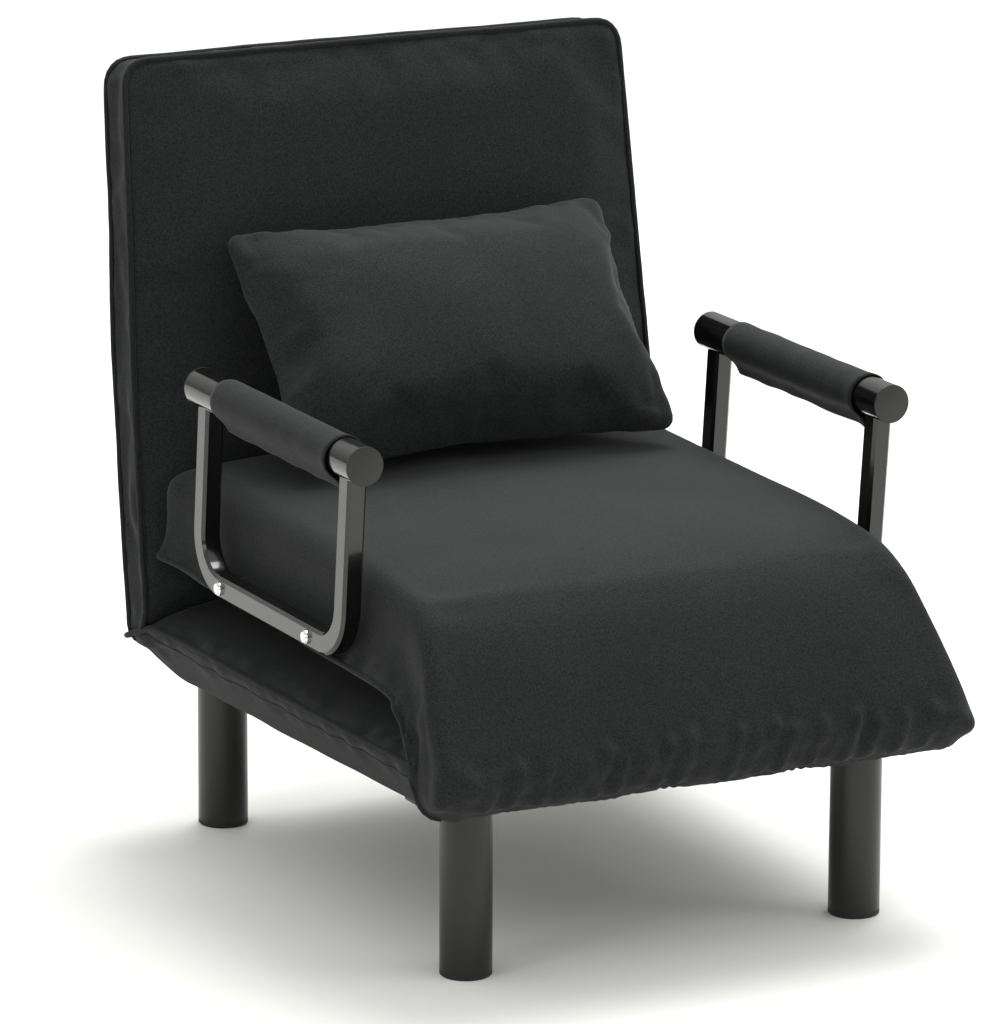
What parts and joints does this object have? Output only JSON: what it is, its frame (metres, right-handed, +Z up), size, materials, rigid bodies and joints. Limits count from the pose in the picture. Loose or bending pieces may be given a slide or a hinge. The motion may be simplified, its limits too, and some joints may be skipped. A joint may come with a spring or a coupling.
{
  "type": "convertible chair bed",
  "caption": "Upholstered armchair that folds out into a single bed, with bar arms that turn over to become the foot-end legs.",
  "frame": {"origin": "on the floor under the middle of the chair's overall width and depth", "axes": "+X to the chair's right seen from the front, +Y to the back, +Z up"},
  "size_m": [0.608, 0.7747, 0.7687],
  "materials": {
    "cover_cloth": "woven charcoal upholstery cloth",
    "webbing": "elastic strap",
    "steel_black": "black powder coat",
    "arm_gloss": "gloss black",
    "leg_satin": "satin black",
    "foot_plastic": "matt black",
    "cap_plastic": "satin black",
    "chrome": "polished",
    "zinc_steel": "zinc plated"
  },
  "bodies": {
    "base": {"base_frame": "steel_black", "base_webbing": "webbing", "base_pad": "cover_cloth", "leg_front_left": "leg_satin", "leg_front_right": "leg_satin", "leg_rear_left": "leg_satin", "leg_rear_right": "leg_satin", "leg_feet": "foot_plastic", "leg_plates": "steel_black", "leg_studs": "zinc_steel", "fold_plate_base_left": "steel_black", "fold_plate_base_right": "steel_black", "fold_pins": "zinc_steel", "recline_plate_base_left": "steel_black", "recline_plate_base_right": "steel_black", "recline_pins": "zinc_steel", "recline_pawl_left": "zinc_steel", "recline_pawl_right": "zinc_steel"},
    "seat": {"seat_frame": "steel_black", "seat_webbing": "webbing", "seat_pad": "cover_cloth", "front_roll": "cover_cloth", "arm_frame_left": "arm_gloss", "arm_frame_right": "arm_gloss", "arm_bar_left": "arm_gloss", "arm_bar_right": "arm_gloss", "bar_end_caps": "cap_plastic", "arm_sleeve_left": "cover_cloth", "arm_sleeve_right": "cover_cloth", "arm_bolts": "chrome", "arm_spacers": "steel_black", "fold_plate_seat_left": "steel_black", "fold_plate_seat_right": "steel_black"},
    "backrest": {"back_frame": "steel_black", "back_webbing": "webbing", "back_pad": "cover_cloth", "recline_plate_back_left": "steel_black", "recline_plate_back_right": "steel_black", "stand_ears": "steel_black", "stand_bolts": "zinc_steel"},
    "stand": {"head_stand": "steel_black", "stand_feet": "foot_plastic"},
    "pillow": {"pillow": "cover_cloth"}
  },
  "joints": [
    {"name": "seat_unfold", "type": "hinge", "parent": "base", "child": "seat", "pos_m": [0, -0.3188, 0.25225], "axis": [1, 0, 0], "range_deg": [0, 179.95], "deforming": ["front_roll", "pillow"]},
    {"name": "backrest_recline", "type": "hinge", "parent": "base", "child": "backrest", "pos_m": [0, 0.2812, 0.195], "axis": [-1, 0, 0], "range_deg": [0, 81.8]},
    {"name": "stand_fold", "type": "hinge", "parent": "backrest", "child": "stand", "pos_m": [0, 0.37595, 0.6562], "axis": [1, 0, 0], "range_deg": [0, 90]},
    {"name": "pillow_settle", "type": "hinge", "parent": "backrest", "child": "pillow", "pos_m": [0, 0.19859, 0.54022], "axis": [1, 0, 0], "range_deg": [0, 32.2]}
  ],
  "couplings": [
    {"joint": "pillow_settle", "follows": "backrest_recline", "ratio": 0.3924}
  ]
}
